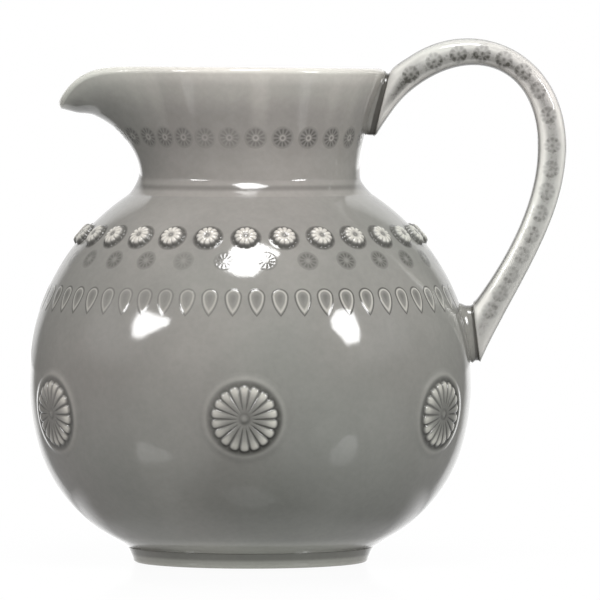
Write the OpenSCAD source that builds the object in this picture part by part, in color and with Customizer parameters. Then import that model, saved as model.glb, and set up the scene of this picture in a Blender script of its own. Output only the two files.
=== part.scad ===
// Pouring jug in grey glazed stoneware: a globe body on a foot ring, a flared neck pulled into
// a spout, a loop handle luted on at two seams, and rows of sprigged relief ornament.
// Millimetres. Origin at the middle of the foot, on the table. +X to the handle, +Z up.

/* [Globe body] */
// Outside radius of the globe
globe_r = 84.2; // [76:0.1:92]
// Height of the globe's centre above the table
globe_z = 68.5; // [62:0.1:75]
// Wall thickness of the globe
globe_wall = 4.6; // [3:0.1:7]
// Thickness of the floor inside
floor_t = 5.5; // [4:0.1:9]
// Angle below the globe's equator at which the tighter haunch begins
haunch_angle = 17.6; // [12:0.1:22]
// Outside radius of the haunch
haunch_r = 58; // [52:0.1:62]

/* [Foot ring] */
// Outside radius of the foot ring where it meets the body
foot_r = 46.5; // [42:0.1:50]
// Height of the foot ring
foot_h = 5.8; // [4:0.1:8]
// Thickness of the foot ring's wall
foot_wall = 7; // [5:0.1:12]
// How much the foot ring draws in towards the table
foot_taper = 1.2; // [0:0.1:2]
// Rounding of the foot ring's lower outer edge
foot_round = 1.6; // [0.5:0.1:2]

/* [Neck and spout] */
// Outside radius of the neck where it sits on the globe
collar_r = 42.4; // [38:0.1:46]
// Height of the neck from the globe to the rim
neck_h = 44.7; // [38:0.1:54]
// Outside radius of the rim
rim_r = 50.7; // [46:0.1:58]
// Wall thickness of the neck at its base
neck_wall = 4.4; // [3:0.1:6]
// Wall thickness at the rim
lip_t = 3.6; // [2.5:0.1:5]
// Distance from the jug's axis to the tip of the spout
spout_reach = 72.7; // [66:0.1:78]
// How much higher the rim is at the spout than at the handle
rim_rise = 0.8; // [0:0.1:3]
// How far the tip of the spout hangs below the rim
spout_droop = 12.2; // [6:0.1:16]
// Half of the angle round the neck over which the spout is pulled out
spout_half_angle = 75; // [60:1:90]

/* [Handle] */
// How far the handle reaches out past the globe
handle_reach = 35.2; // [30:0.1:42]
// How far the handle rises above the rim
handle_rise = 12.4; // [6:0.1:16]
// Thickness of the handle, from its inner to its outer edge
handle_t = 10.9; // [8:0.1:14]
// Width of the handle, from side to side
handle_w = 15; // [11:0.1:20]
// Width of the handle at its two ends
handle_end_w = 17; // [13:0.1:22]
// Height of the handle's outermost point above the globe's centre
handle_side_rise = 88; // [78:0.5:98]
// Thickness of the upper slip seam at its top
upper_seam_top_t = 1.9; // [1:0.1:3]
// Thickness of the upper slip seam at its bottom
upper_seam_low_t = 3.4; // [1:0.1:5]
// Thickness of the lower slip seam at its top
lower_seam_top_t = 5; // [2:0.1:7]
// Thickness of the lower slip seam at its bottom
lower_seam_low_t = 2.9; // [1:0.1:5]
// Height of the handle's upper end along the neck
upper_end_h = 22.8; // [16:0.1:26]
// How far below the rim the upper end starts
upper_end_drop = 1.2; // [1:0.1:4]
// Height of the handle's lower end along the globe
lower_end_h = 22.4; // [16:0.1:26]
// Height of the bottom of the lower end above the globe's centre
lower_end_rise = 6.6; // [3:0.1:14]

/* [Ornament] */
// Number of large rosettes round the globe
large_rosettes = 6; // [4:1:8]
// Radius of a large rosette
large_rosette_r = 12.6; // [9:0.1:15]
// Relief of a large rosette
large_rosette_h = 2.8; // [1:0.1:4]
// Petals on a large rosette
large_petals = 18; // [12:1:24]
// Latitude of the large rosettes on the globe
large_rosette_lat = -7.3; // [-14:0.1:4]
// Number of shoulder rosettes, which is also the number of daisies in a row
shoulder_rosettes = 28; // [20:1:30]
// Radius of a shoulder rosette
shoulder_rosette_r = 5.3; // [4:0.1:6]
// Relief of a shoulder rosette
shoulder_rosette_h = 2.7; // [1:0.1:3.5]
// Petals on a shoulder rosette
shoulder_petals = 11; // [8:1:14]
// Latitude of the shoulder rosettes on the globe
shoulder_rosette_lat = 41.2; // [40:0.1:46]
// Diameter of a shoulder daisy
shoulder_daisy_d = 8; // [6:0.1:9]
// Latitude of the shoulder daisies on the globe
shoulder_daisy_lat = 34; // [32:0.1:35]
// Width of a drop
drop_w = 5.8; // [4:0.1:6.4]
// Height of a drop
drop_h = 10.4; // [8:0.1:12]
// Latitude of the middle of the drops on the globe
drop_lat = 22.3; // [17:0.1:25]
// Diameter of a neck daisy
neck_daisy_d = 7.8; // [5:0.1:8.6]
// Height of the neck daisies above the neck's foot
neck_daisy_z = 19.3; // [14:0.1:24]
// Diameter of a handle daisy
handle_daisy_d = 7; // [5:0.1:8]
// Daisies along each side of the handle
handle_daisies_a_side = 17; // [10:1:20]
// Relief of the daisies and drops
daisy_h = 0.5; // [0.3:0.05:0.8]

/* [Hidden] */
$fn = 96;

// Lines and arcs of the globe's section
haunch_centre = [
    (globe_r - haunch_r) * cos(haunch_angle),
    globe_z - (globe_r - haunch_r) * sin(haunch_angle)
];
foot_corner = [foot_r, foot_h];
corner_from_haunch = foot_corner - haunch_centre;
haunch_end_angle = atan2(corner_from_haunch[1], corner_from_haunch[0])
    + acos(min(1, haunch_r / norm(corner_from_haunch)));
haunch_end = haunch_centre + haunch_r * [cos(haunch_end_angle), sin(haunch_end_angle)];
floor_z = foot_h + floor_t;
collar_z = globe_z + sqrt(globe_r * globe_r - collar_r * collar_r);
throat_r = collar_r - neck_wall;
rim_z = collar_z + neck_h;

// Neck and spout: two curves from the collar to the edge, blended round the neck
neck_curve_shares = [[-0.39, 0.195], [0.13, 0.48]];
spout_curve_shares = [[-0.09, 0.33], [0.31, 0.6]];
spout_narrowing = 2.8;
droop_narrowing = 4;
lip_z = neck_h - lip_t / 2;
neck_edge = [rim_r, lip_z];
spout_edge = [spout_reach - lip_t / 2, lip_z - spout_droop];
collar_edge = [collar_r, 0];
neck_curve = curve_between(collar_edge, neck_edge, neck_curve_shares, neck_h);
spout_curve = curve_between(collar_edge, spout_edge, spout_curve_shares, neck_h);
neck_sides = 64;
neck_outer_rows = 12;
neck_inner_rows = 8;
lip_rows = 4;
slope_share = 0.002;

// Handle: an outer and an inner edge in the XZ plane, each of two curves
outer_reach = globe_r + handle_reach;
inner_reach = outer_reach - handle_t;
side_z = globe_z + handle_side_rise;
crown_z = rim_z + handle_rise;
upper_top_z = rim_z - upper_end_drop;
upper_low_z = upper_top_z - upper_end_h;
lower_low_z = globe_z + lower_end_rise;
lower_top_z = lower_low_z + lower_end_h;
outer_start = [neck_radius(upper_top_z) + upper_seam_top_t, upper_top_z];
inner_start = [neck_radius(upper_low_z) + upper_seam_low_t, upper_low_z];
outer_end = [globe_radius(lower_low_z) + lower_seam_low_t, lower_low_z];
inner_end = [globe_radius(lower_top_z) + lower_seam_top_t, lower_top_z];
outer_crown_shares = [[0.36, 1.29], [1, 0.98]];
inner_crown_shares = [[0.36, 1.34], [1, 1.285]];
outer_run_shares = [[1, 0.654], [0.36, 0.33]];
inner_run_shares = [[1, 0.57], [0.26, 0.14]];
outer_edge = [
    crown_curve(outer_start, [outer_reach, side_z], crown_z, outer_crown_shares),
    run_curve([outer_reach, side_z], outer_end, outer_run_shares)
];
inner_edge = [
    crown_curve(inner_start, [inner_reach, side_z], crown_z - handle_t, inner_crown_shares),
    run_curve([inner_reach, side_z], inner_end, inner_run_shares)
];
handle_squareness = 3;
handle_end_share = 0.12;
handle_sides = 20;
handle_rows = 34;
seam_share = 0.95;
seam_mid_share = 0.45;
daisy_first_share = 0.072;
daisy_last_share = 0.92;

// Ornament
overrun = 1;
petal_dip_share = 0.55;
petal_notch_share = 0.9;
large_profile_shares = [
    [0.5, 0], [1, 0], [0.97, 0.55], [0.72, 0.92], [0.26, 0.8], [0.2, 0.62], [0.14, 0.9]
];
large_tip_share = 0.98;
shoulder_profile_shares = [[1, 0], [0.93, 0.6], [0.55, 1], [0.2, 0.72]];
shoulder_tip_share = 0.62;
daisy_profile_shares = [[1, 0], [0.9, 1], [0.5, 0.3]];
daisy_tip_share = 0.9;
daisy_sectors = 12;
drop_field_share = 0.62;
neck_daisy_crowding = 9;
rosette_step = 360 / shoulder_rosettes;
drop_step = rosette_step / 2;

// Node names, one solid piece or one set of like pieces each
large_names = [for (i = [1:large_rosettes]) str("large_rosette_", i)];
shoulder_names = [for (i = [1:shoulder_rosettes]) str("shoulder_rosette_", i)];

// Colours of the glaze
body_grey = [0.56, 0.55, 0.52];
neck_grey = [0.6, 0.59, 0.56];
pooled_grey = [0.36, 0.35, 0.33];
relief_grey = [0.76, 0.75, 0.71];
handle_grey = [0.74, 0.73, 0.7];

function unit(v) = v / norm(v);

function mix(a, b, share) = a + (b - a) * share;

function smooth(share) = let (s = max(0, min(1, share))) s * s * (3 - 2 * s);

function cubic(c, t) =
    c[0] * pow(1 - t, 3) + c[1] * 3 * t * pow(1 - t, 2) + c[2] * 3 * t * t * (1 - t) + c[3] * pow(t, 3);

// A curve whose two inner handles are shares of its own reach and of a height
function curve_between(from, to, shares, height) = [
    from,
    [mix(from[0], to[0], shares[0][0]), from[1] + shares[0][1] * height],
    [mix(from[0], to[0], shares[1][0]), from[1] + shares[1][1] * height],
    to
];

// One edge of the handle from its upper end over the crown to its outermost point
function crown_curve(from, to, crown, shares) = [
    from,
    [mix(from[0], to[0], shares[0][0]), mix(to[1], crown, shares[0][1])],
    [mix(from[0], to[0], shares[1][0]), mix(to[1], crown, shares[1][1])],
    to
];

// One edge of the handle from its outermost point down to its lower end
function run_curve(from, to, shares) = [
    from,
    [mix(to[0], from[0], shares[0][0]), mix(to[1], from[1], shares[0][1])],
    [mix(to[0], from[0], shares[1][0]), mix(to[1], from[1], shares[1][1])],
    to
];

// Place along the neck's curve at which it reaches a height above the collar
function neck_place(height, low = 0, high = 1, steps = 24) =
    let (mid = (low + high) / 2)
    steps == 0 ? mid
    : cubic(neck_curve, mid)[1] < height ? neck_place(height, mid, high, steps - 1)
    : neck_place(height, low, mid, steps - 1);

function neck_radius(z) = cubic(neck_curve, neck_place(z - collar_z))[0];

function globe_radius(z) = sqrt(globe_r * globe_r - pow(z - globe_z, 2));

// How much the spout pulls at an angle round the neck, from 0 to 1
function spout_pull(angle) =
    let (away = abs(angle - 180))
    away < spout_half_angle ? pow((1 + cos(180 * away / spout_half_angle)) / 2, spout_narrowing) : 0;

function neck_point(angle, t) =
    let (
        pull = spout_pull(angle),
        plain = cubic(neck_curve, t),
        pulled = cubic(spout_curve, t),
        r = mix(plain[0], pulled[0], pull),
        rise = rim_rise * t * (1 - cos(angle)) / 2,
        z = mix(plain[1], pulled[1], pow(pull, droop_narrowing)) + rise
    )
    [r * cos(angle), r * sin(angle), collar_z + z];

function neck_along(angle, t) =
    unit(neck_point(angle, t + slope_share) - neck_point(angle, t - slope_share));

function neck_out(angle, t) =
    unit(cross(neck_point(angle + slope_share, t) - neck_point(angle - slope_share, t), neck_along(angle, t)));

function neck_inner_point(angle, t) =
    neck_point(angle, t) - neck_out(angle, t) * mix(neck_wall, lip_t, t);

function lip_point(angle, turn) =
    neck_point(angle, 1)
    + neck_out(angle, 1) * (cos(turn) - 1) * lip_t / 2
    + neck_along(angle, 1) * sin(turn) * lip_t / 2;

// Handle sections: middle, direction from inner to outer edge, and half sizes, at a share of its length
function edge_point(edge, share) = share < 0.5 ? cubic(edge[0], share * 2) : cubic(edge[1], share * 2 - 1);

function handle_middle(share) = (edge_point(outer_edge, share) + edge_point(inner_edge, share)) / 2;

function handle_across(share) = (edge_point(outer_edge, share) - edge_point(inner_edge, share)) / 2;

function handle_half_w(share) =
    let (from_end = min(share, 1 - share) / handle_end_share)
    mix(handle_end_w, handle_w, smooth(from_end)) / 2;

function rounded(c) = sign(c) * pow(abs(c), 2 / handle_squareness);

function handle_ring(share, scale_share) = [
    for (i = [0:handle_sides - 1])
        let (
            turn = 360 * i / handle_sides,
            flat = handle_middle(share) + handle_across(share) * rounded(cos(turn)) * scale_share,
            y = -handle_half_w(share) * rounded(sin(turn)) * scale_share
        )
        [flat[0], y, flat[1]]
];

// Direction and length of a step along the handle's middle line
function handle_pace(share) =
    (handle_middle(share + slope_share) - handle_middle(share - slope_share)) / (2 * slope_share);

// A point on the side of the handle, from a daisy's own middle
function handle_side_point(share, along, across, side, lift) =
    let (
        place = share + along / norm(handle_pace(share)),
        ahead = unit(handle_pace(place)),
        outward = [-ahead[1], ahead[0]],
        half_t = handle_across(place) * outward,
        reach = min(1, abs(across / half_t)),
        flat = handle_middle(place) + outward * across,
        y = handle_half_w(place) * pow(1 - pow(reach, handle_squareness), 1 / handle_squareness) + lift
    )
    [flat[0], side * y, flat[1]];

// A point on the globe, from a sprig's own middle, lifted off the surface
function globe_point(azimuth, lat, east, north, lift) =
    let (
        out = [cos(lat) * cos(azimuth), cos(lat) * sin(azimuth), sin(lat)],
        right = [-sin(azimuth), cos(azimuth), 0],
        up = [-sin(lat) * cos(azimuth), -sin(lat) * sin(azimuth), cos(lat)],
        aim = unit(out * globe_r + right * east + up * north)
    )
    [0, 0, globe_z] + aim * (globe_r + lift);

// Petal edge: 1 on a petal's crest and the notch share between two petals
function petal_edge(i) = i % 2 == 0 ? 1 : petal_notch_share;

function petal_lift(i) = i % 2 == 0 ? 1 : petal_dip_share;

function fan(tip, first, n, turned) = [
    for (j = [0:n - 1])
        let (a = first + j, b = first + (j + 1) % n)
        turned ? [tip, b, a] : [tip, a, b]
];

function band(first, second, n) = [
    for (j = [0:n - 1])
        let (k = (j + 1) % n)
        each [[first + j, second + k, first + k], [first + j, second + j, second + k]]
];

// Closed solid through a stack of rings, each end closed by a fan to its tip
module ring_stack(rings, first_tip, last_tip) {
    n = len(rings[0]);
    last = 1 + (len(rings) - 1) * n;
    points = concat([first_tip], [for (ring = rings) each ring], [last_tip]);
    bands = [for (i = [0:len(rings) - 2]) each band(1 + i * n, 1 + (i + 1) * n, n)];
    faces = concat(fan(0, 1, n, false), bands, fan(len(points) - 1, last, n, true));
    polyhedron(points, faces);
}

// Rosette of petals laid on the globe
module globe_rosette(azimuth, lat, radius, relief, petals, profile, tip_share) {
    sectors = petals * 2;
    rings = [
        for (step = profile) [
            for (i = [0:sectors - 1])
                let (
                    turn = 90 + 360 * i / sectors,
                    reach = radius * step[0] * mix(1, petal_edge(i), step[0]),
                    lift = relief * step[1] * petal_lift(i)
                )
                globe_point(azimuth, lat, reach * cos(turn), reach * sin(turn), lift)
        ]
    ];
    ring_stack(
        rings,
        globe_point(azimuth, lat, 0, 0, 0),
        globe_point(azimuth, lat, 0, 0, relief * tip_share)
    );
}

// Section of the globe body at a depth below its outside
module globe_section(depth, low_z) {
    globe_inner = globe_r - depth;
    split_z = globe_z - globe_inner * sin(haunch_angle);
    intersection() {
        translate([0, globe_z]) circle(globe_inner);
        translate([0, split_z]) square([globe_r, globe_r * 2]);
    }
    intersection() {
        translate(haunch_centre) circle(haunch_r - depth);
        translate([0, low_z]) square([globe_r, globe_z - low_z]);
    }
    translate([0, low_z]) square([haunch_centre[0], globe_z - low_z]);
}

module globe_body() {
    color(body_grey) rotate_extrude() difference() {
        intersection() {
            union() {
                globe_section(0, foot_h);
                polygon([[0, foot_h], foot_corner, haunch_end, haunch_centre, [0, haunch_centre[1]]]);
            }
            translate([0, foot_h]) square([globe_r, collar_z - foot_h]);
        }
        globe_section(globe_wall, floor_z);
        translate([0, globe_z]) square([throat_r, globe_r]);
    }
}

module foot_ring() {
    round_x = foot_r - foot_taper - foot_round;
    inner_x = foot_r - foot_wall;
    color(body_grey) rotate_extrude() {
        translate([round_x, foot_round]) circle(foot_round);
        polygon([
            [inner_x, 0],
            [round_x, 0],
            [round_x + foot_round, foot_round],
            foot_corner,
            [inner_x, foot_h]
        ]);
    }
}

module neck_and_spout() {
    angles = [for (i = [0:neck_sides - 1]) 360 * i / neck_sides];
    outer = [for (i = [0:neck_outer_rows]) [for (a = angles) neck_point(a, i / neck_outer_rows)]];
    lip = [for (i = [1:lip_rows]) [for (a = angles) lip_point(a, 180 * i / lip_rows)]];
    inner = [
        for (i = [1:neck_inner_rows - 1])
            [for (a = angles) neck_inner_point(a, 1 - i / neck_inner_rows)]
    ];
    base = [[for (a = angles) [throat_r * cos(a), throat_r * sin(a), collar_z]]];
    rows = concat(outer, lip, inner, base);
    bands = [
        for (i = [0:len(rows) - 1])
            each band(i * neck_sides, ((i + 1) % len(rows)) * neck_sides, neck_sides)
    ];
    color(neck_grey) polyhedron([for (row = rows) each row], bands);
}

module handle() {
    shares = [for (i = [0:handle_rows]) i / handle_rows];
    first = handle_middle(0);
    last = handle_middle(1);
    color(handle_grey)
        ring_stack([for (s = shares) handle_ring(s, 1)], [first[0], 0, first[1]], [last[0], 0, last[1]]);
}

// Slip seam between the neck and the upper end of the handle
module upper_handle_seam() {
    on_handle = handle_ring(0, seam_share);
    mid_ring = handle_ring(0, seam_share * seam_mid_share);
    middle = handle_middle(0);
    on_neck = [for (p = on_handle) neck_seat(p)];
    mid_on_neck = [for (p = mid_ring) neck_seat(p)];
    color(pooled_grey)
        ring_stack(
            [mid_on_neck, on_neck, on_handle],
            neck_seat([middle[0], 0, middle[1]]),
            [middle[0], 0, middle[1]]
        );
}

function neck_seat(p) = [sqrt(pow(neck_radius(p[2]), 2) - p[1] * p[1]), p[1], p[2]];

// Slip seam between the globe and the lower end of the handle
module lower_handle_seam() {
    on_handle = handle_ring(1, seam_share);
    mid_ring = handle_ring(1, seam_share * seam_mid_share);
    middle = handle_middle(1);
    on_globe = [for (p = on_handle) globe_seat(p)];
    mid_on_globe = [for (p = mid_ring) globe_seat(p)];
    color(pooled_grey)
        ring_stack(
            [on_handle, on_globe, mid_on_globe],
            [middle[0], 0, middle[1]],
            globe_seat([middle[0], 0, middle[1]])
        );
}

function globe_seat(p) = [sqrt(pow(globe_radius(p[2]), 2) - p[1] * p[1]), p[1], p[2]];

// Large rosettes stand clear of the handle, which falls midway between two of them
module large_rosette(i) {
    color(relief_grey) globe_rosette(
        360 * (i - 0.5) / large_rosettes, large_rosette_lat, large_rosette_r, large_rosette_h,
        large_petals, large_profile_shares, large_tip_share
    );
}

module shoulder_rosette(i) {
    color(relief_grey) globe_rosette(
        rosette_step * (i - 1), shoulder_rosette_lat, shoulder_rosette_r, shoulder_rosette_h,
        shoulder_petals, shoulder_profile_shares, shoulder_tip_share
    );
}

// Turns a flat plan so that it stands on the globe, with its own up towards the neck
module on_globe(azimuth, lat) {
    translate([0, 0, globe_z]) rotate([0, -lat, azimuth]) rotate([90, 0, 90]) children();
}

module globe_shell(lift) {
    translate([0, 0, globe_z]) difference() {
        sphere(globe_r + lift);
        sphere(globe_r);
    }
}

// Plan cut through the skin of the globe
module through_skin(azimuth, lat) {
    on_globe(azimuth, lat) translate([0, 0, globe_r - overrun]) linear_extrude(2 * overrun) children();
}

module shoulder_daisies() {
    for (i = [0:shoulder_rosettes - 1])
        color(body_grey) shoulder_daisy(rosette_step * (i + 0.5));
}

module shoulder_daisy(azimuth) {
    rings = [
        for (step = daisy_profile_shares) [
            for (i = [0:daisy_sectors - 1])
                let (
                    turn = 90 + 360 * i / daisy_sectors,
                    reach = shoulder_daisy_d / 2 * step[0]
                )
                globe_point(
                    azimuth, shoulder_daisy_lat, reach * cos(turn), reach * sin(turn), daisy_h * step[1]
                )
        ]
    ];
    ring_stack(
        rings,
        globe_point(azimuth, shoulder_daisy_lat, 0, 0, 0),
        globe_point(azimuth, shoulder_daisy_lat, 0, 0, daisy_h * daisy_tip_share)
    );
}

// Round end up, point down
module drop_plan(w, h) {
    shoulder = (h - w) / 2;
    translate([0, shoulder]) circle(d = w);
    polygon([[-w / 2, shoulder], [0, -h / 2], [w / 2, shoulder]]);
}

// The handle's lower end covers the place of the two drops beside its plane
module drop_band() {
    color(relief_grey) intersection() {
        union() {
            for (i = [1:2 * shoulder_rosettes - 2])
                through_skin(drop_step * (i + 0.5), drop_lat) difference() {
                    drop_plan(drop_w, drop_h);
                    drop_plan(drop_w * drop_field_share, drop_h * drop_field_share);
                }
        }
        globe_shell(daisy_h);
    }
}

// Daisies crowd a little towards the spout, and the handle's upper end covers the last one's place
module neck_daisies() {
    for (i = [1 - shoulder_rosettes / 2:shoulder_rosettes / 2 - 1]) {
        even = 360 * i / shoulder_rosettes;
        angle = 180 + even - neck_daisy_crowding * sin(even);
        color(neck_grey) neck_daisy(angle);
    }
}

module neck_daisy(angle) {
    place = neck_place(neck_daisy_z);
    middle = neck_point(angle, place);
    turn_pace = norm([middle[0], middle[1]]) * PI / 180;
    rise_pace = norm(neck_point(angle, place + slope_share) - middle) / slope_share;
    rings = [
        for (step = daisy_profile_shares) [
            for (i = [0:daisy_sectors - 1])
                let (
                    turn = 90 + 360 * i / daisy_sectors,
                    reach = neck_daisy_d / 2 * step[0],
                    a = angle + reach * cos(turn) / turn_pace,
                    t = place + reach * sin(turn) / rise_pace
                )
                neck_point(a, t) + neck_out(a, t) * daisy_h * step[1]
        ]
    ];
    ring_stack(rings, middle, middle + neck_out(angle, place) * daisy_h * daisy_tip_share);
}

module handle_daisies() {
    for (side = [-1, 1], i = [0:handle_daisies_a_side - 1])
        color(handle_grey)
            handle_daisy(mix(daisy_first_share, daisy_last_share, i / (handle_daisies_a_side - 1)), side);
}

module handle_daisy(share, side) {
    rings = [
        for (step = daisy_profile_shares) [
            for (i = [0:daisy_sectors - 1])
                let (
                    turn = 360 * i / daisy_sectors,
                    reach = handle_daisy_d / 2 * step[0]
                )
                handle_side_point(share, -side * reach * cos(turn), reach * sin(turn), side, daisy_h * step[1])
        ]
    ];
    ring_stack(
        rings,
        handle_side_point(share, 0, 0, side, 0),
        handle_side_point(share, 0, 0, side, daisy_h * daisy_tip_share)
    );
}

globe_body();
foot_ring();
neck_and_spout();
handle();
upper_handle_seam();
lower_handle_seam();
for (i = [1:large_rosettes])
    large_rosette(i);
for (i = [1:shoulder_rosettes])
    shoulder_rosette(i);
shoulder_daisies();
drop_band();
neck_daisies();
handle_daisies();
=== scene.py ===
import math

import bpy
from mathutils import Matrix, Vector


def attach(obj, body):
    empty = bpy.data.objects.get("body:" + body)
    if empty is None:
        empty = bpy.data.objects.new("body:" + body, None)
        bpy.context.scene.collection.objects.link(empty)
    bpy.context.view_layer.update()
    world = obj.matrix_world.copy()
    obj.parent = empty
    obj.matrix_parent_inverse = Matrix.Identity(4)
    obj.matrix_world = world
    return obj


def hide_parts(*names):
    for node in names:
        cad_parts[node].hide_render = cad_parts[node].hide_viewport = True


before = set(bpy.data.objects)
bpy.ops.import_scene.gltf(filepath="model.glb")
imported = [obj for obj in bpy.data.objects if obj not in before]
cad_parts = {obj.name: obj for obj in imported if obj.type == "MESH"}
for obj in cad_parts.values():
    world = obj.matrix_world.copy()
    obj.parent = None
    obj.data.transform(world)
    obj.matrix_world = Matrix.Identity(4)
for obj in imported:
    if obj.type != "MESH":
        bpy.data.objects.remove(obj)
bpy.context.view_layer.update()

# Sizes in metres and angles in radians, the same as in the part's source

GLOBE_R = 0.0842
GLOBE_Z = 0.0685
GLOBE_WALL = 0.0046
FLOOR_T = 0.0055
HAUNCH_ANGLE = math.radians(17.6)
HAUNCH_R = 0.058

FOOT_R = 0.0465
FOOT_H = 0.0058
FOOT_WALL = 0.007
FOOT_ROUND = 0.0016

COLLAR_R = 0.0424
NECK_H = 0.0447
RIM_R = 0.0507
NECK_WALL = 0.0044
LIP_T = 0.0036
RIM_RISE = 0.0008
SPOUT_REACH = 0.0727
SPOUT_DROOP = 0.0122
SPOUT_HALF_ANGLE = math.radians(75)
SPOUT_NARROWING = 2.8
DROOP_NARROWING = 4
NECK_SHARES = ((-0.39, 0.195), (0.13, 0.48))
SPOUT_SHARES = ((-0.09, 0.33), (0.31, 0.6))

HANDLE_REACH = 0.0352
HANDLE_RISE = 0.0124
HANDLE_T = 0.0109
HANDLE_W = 0.015
HANDLE_END_W = 0.017
HANDLE_SIDE_RISE = 0.088
UPPER_SEAM_TOP_T = 0.0019
UPPER_SEAM_LOW_T = 0.0034
LOWER_SEAM_TOP_T = 0.005
LOWER_SEAM_LOW_T = 0.0029
UPPER_END_H = 0.0228
UPPER_END_DROP = 0.0012
LOWER_END_H = 0.0224
LOWER_END_RISE = 0.0066
OUTER_CROWN_SHARES = ((0.36, 1.29), (1, 0.98))
INNER_CROWN_SHARES = ((0.36, 1.34), (1, 1.285))
OUTER_RUN_SHARES = ((1, 0.654), (0.36, 0.33))
INNER_RUN_SHARES = ((1, 0.57), (0.26, 0.14))
HANDLE_SQUARENESS = 3
HANDLE_END_SHARE = 0.12
SEAM_SHARE = 0.95

LARGE_ROSETTES = 6
LARGE_ROSETTE_R = 0.0126
LARGE_ROSETTE_LAT = math.radians(-7.3)
LARGE_PETALS = 18
SHOULDER_ROSETTES = 28
SHOULDER_ROSETTE_R = 0.0053
SHOULDER_ROSETTE_LAT = math.radians(41.2)
SHOULDER_PETALS = 11
SHOULDER_DAISY_LAT = math.radians(34)
DROPS = 54
DROP_W = 0.0058
DROP_H = 0.0104
DROP_LAT = math.radians(22.3)
NECK_DAISIES = 27
NECK_DAISY_Z = 0.0193
NECK_DAISY_CROWDING = math.radians(9)
HANDLE_DAISIES_A_SIDE = 17
DAISY_FIRST_SHARE = 0.072
DAISY_LAST_SHARE = 0.92

# Mesh counts, and small sizes that only the scene has

ROUND_STEPS = 256
HANDLE_SIDES = 72
HALVINGS = 30
SLOPE_STEP = 0.002
MERGE_DISTANCE = 0.000002
BLANK = 0.05
UNDERSIDE = 0.0004
LEAST_LIFT = 0.00005
PAST_EDGE = 1.001
FOOT_TAPER = 0.0019
FOOT_OF_NECK_FILLET = 0.0042
FILLET_SHARE = 0.14
UPPER_LOBE = 0.0027
UPPER_BROW = 0.0012
LOWER_LOBE = 0.0006
SPOUT_ROLL = 0.0016


def mix(a, b, share):
    return a + (b - a) * share


def smooth(low, high, value):
    share = max(0.0, min(1.0, (value - low) / (high - low)))
    return share * share * (3 - 2 * share)


def through(points, value):
    """Height of a line drawn through (place, height) points."""
    if value <= points[0][0]:
        return points[0][1]
    for (a, low), (b, high) in zip(points, points[1:]):
        if value <= b:
            return mix(low, high, (value - a) / (b - a))
    return points[-1][1]


def cubic(curve, t):
    s = 1 - t
    return curve[0] * s ** 3 + curve[1] * (3 * t * s * s) + curve[2] * (3 * t * t * s) + curve[3] * t ** 3


# Lines of the globe, the neck and the handle

COLLAR_Z = GLOBE_Z + math.sqrt(GLOBE_R ** 2 - COLLAR_R ** 2)
COLLAR_LAT = math.acos(COLLAR_R / GLOBE_R)
RIM_Z = COLLAR_Z + NECK_H
FLOOR_Z = FOOT_H + FLOOR_T
THROAT_R = COLLAR_R - NECK_WALL
HAUNCH_CENTRE = Vector((
    (GLOBE_R - HAUNCH_R) * math.cos(HAUNCH_ANGLE),
    GLOBE_Z - (GLOBE_R - HAUNCH_R) * math.sin(HAUNCH_ANGLE),
))
FOOT_CORNER = Vector((FOOT_R, FOOT_H))
CORNER_FROM_HAUNCH = FOOT_CORNER - HAUNCH_CENTRE
HAUNCH_END_ANGLE = (
    math.atan2(CORNER_FROM_HAUNCH.y, CORNER_FROM_HAUNCH.x)
    + math.acos(min(1, HAUNCH_R / CORNER_FROM_HAUNCH.length))
)


def curve_between(start, end, shares, height):
    first = (mix(start[0], end[0], shares[0][0]), start[1] + shares[0][1] * height)
    second = (mix(start[0], end[0], shares[1][0]), start[1] + shares[1][1] * height)
    return [Vector(point) for point in (start, first, second, end)]


LIP_Z = NECK_H - LIP_T / 2
NECK_CURVE = curve_between((COLLAR_R, 0), (RIM_R, LIP_Z), NECK_SHARES, NECK_H)
SPOUT_CURVE = curve_between(
    (COLLAR_R, 0), (SPOUT_REACH - LIP_T / 2, LIP_Z - SPOUT_DROOP), SPOUT_SHARES, NECK_H
)


def neck_place(height):
    """Place along the neck's curve at which it reaches a height above the collar."""
    low, high = 0.0, 1.0
    for _ in range(HALVINGS):
        middle = (low + high) / 2
        if cubic(NECK_CURVE, middle).y < height:
            low = middle
        else:
            high = middle
    return low


def neck_radius(z):
    return cubic(NECK_CURVE, neck_place(z - COLLAR_Z)).x


def globe_radius(z):
    return math.sqrt(GLOBE_R ** 2 - (z - GLOBE_Z) ** 2)


def spout_pull(angle):
    away = abs(math.remainder(angle - math.pi, math.tau))
    if away >= SPOUT_HALF_ANGLE:
        return 0.0
    return ((1 + math.cos(math.pi * away / SPOUT_HALF_ANGLE)) / 2) ** SPOUT_NARROWING


def neck_point(angle, t):
    pull = spout_pull(angle)
    plain = cubic(NECK_CURVE, t)
    pulled = cubic(SPOUT_CURVE, t)
    r = mix(plain.x, pulled.x, pull)
    rise = RIM_RISE * t * (1 - math.cos(angle)) / 2
    z = COLLAR_Z + mix(plain.y, pulled.y, pull ** DROOP_NARROWING) + rise
    return Vector((r * math.cos(angle), r * math.sin(angle), z))


def neck_along(angle, t):
    return (neck_point(angle, t + SLOPE_STEP) - neck_point(angle, t - SLOPE_STEP)).normalized()


def neck_out(angle, t):
    around = neck_point(angle + SLOPE_STEP, t) - neck_point(angle - SLOPE_STEP, t)
    return around.cross(neck_along(angle, t)).normalized()


def edge_curves(start, side, end, crown, crown_shares, run_shares):
    """One edge of the handle: over the crown to its outermost point, then down to its lower end."""
    over = [Vector((mix(start[0], side[0], a), mix(side[1], crown, b))) for a, b in crown_shares]
    down = [Vector((mix(end[0], side[0], a), mix(end[1], side[1], b))) for a, b in run_shares]
    return [Vector(start), *over, Vector(side)], [Vector(side), *down, Vector(end)]


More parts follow.
